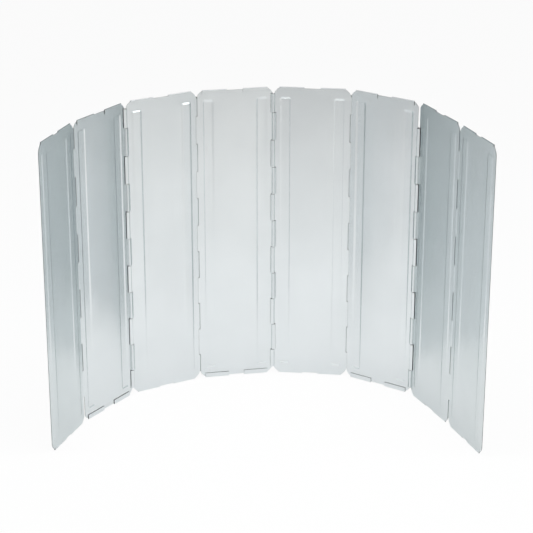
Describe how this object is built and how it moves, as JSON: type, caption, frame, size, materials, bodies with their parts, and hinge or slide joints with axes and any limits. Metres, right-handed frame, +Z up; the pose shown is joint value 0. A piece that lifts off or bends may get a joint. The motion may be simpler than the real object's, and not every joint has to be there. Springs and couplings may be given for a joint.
{
  "type": "stove windscreen",
  "caption": "Folding camp-stove windscreen: flat sheet-metal panels with pressed beads and folded hems, joined edge to edge by pin hinges and standing in an arc.",
  "frame": {"origin": "middle of the footprint at floor level, with the screen set in its arc", "axes": "+X to the right along the screen's span as seen from its open side, +Y to the closed back of the arc, +Z up along the hinge pins"},
  "size_m": [0.4524, 0.2078, 0.342],
  "materials": {
    "sheet": "rolled sheet, satin",
    "pin": "drawn wire, satin"
  },
  "bodies": {
    "panel_1": {"panel_1": "sheet"},
    "panel_2": {"panel_2": "sheet", "hinge_pin_1": "pin"},
    "panel_3": {"panel_3": "sheet", "hinge_pin_2": "pin"},
    "panel_4": {"panel_4": "sheet", "hinge_pin_3": "pin"},
    "panel_5": {"panel_5": "sheet", "hinge_pin_4": "pin"},
    "panel_6": {"panel_6": "sheet", "hinge_pin_5": "pin"},
    "panel_7": {"panel_7": "sheet", "hinge_pin_6": "pin", "hinge_pin_7": "pin"},
    "panel_8": {"panel_8": "sheet"}
  },
  "joints": [
    {"name": "fold_4", "type": "hinge", "parent": "panel_4", "child": "panel_5", "pos_m": [0.00605, 0.10218, 0.171], "axis": [0, 0, -1], "range_deg": [-20, 161.4]},
    {"name": "fold_3", "type": "hinge", "parent": "panel_4", "child": "panel_3", "pos_m": [-0.07782, 0.08813, 0.171], "axis": [0, 0, -1], "range_deg": [-24.44, 197.21]},
    {"name": "fold_5", "type": "hinge", "parent": "panel_5", "child": "panel_6", "pos_m": [0.0908, 0.09519, 0.171], "axis": [0, 0, 1], "range_deg": [-25.53, 206.01]},
    {"name": "fold_2", "type": "hinge", "parent": "panel_3", "child": "panel_2", "pos_m": [-0.15065, 0.04422, 0.171], "axis": [0, 0, 1], "range_deg": [-20, 152.4]},
    {"name": "fold_1", "type": "hinge", "parent": "panel_2", "child": "panel_1", "pos_m": [-0.20025, -0.02485, 0.171], "axis": [0, 0, -1], "range_deg": [-25.35, 193.11]},
    {"name": "fold_6", "type": "hinge", "parent": "panel_6", "child": "panel_7", "pos_m": [0.16038, 0.04631, 0.171], "axis": [0, 0, -1], "range_deg": [-20, 147.2]},
    {"name": "fold_7", "type": "hinge", "parent": "panel_7", "child": "panel_8", "pos_m": [0.1983, -0.0298, 0.171], "axis": [0, 0, 1], "range_deg": [-24.79, 182.41]}
  ],
  "couplings": [
    {"joint": "fold_3", "follows": "fold_4", "ratio": 1.2218},
    {"joint": "fold_5", "follows": "fold_4", "ratio": 1.2763},
    {"joint": "fold_1", "follows": "fold_2", "ratio": 1.2671},
    {"joint": "fold_7", "follows": "fold_6", "ratio": 1.2391}
  ]
}
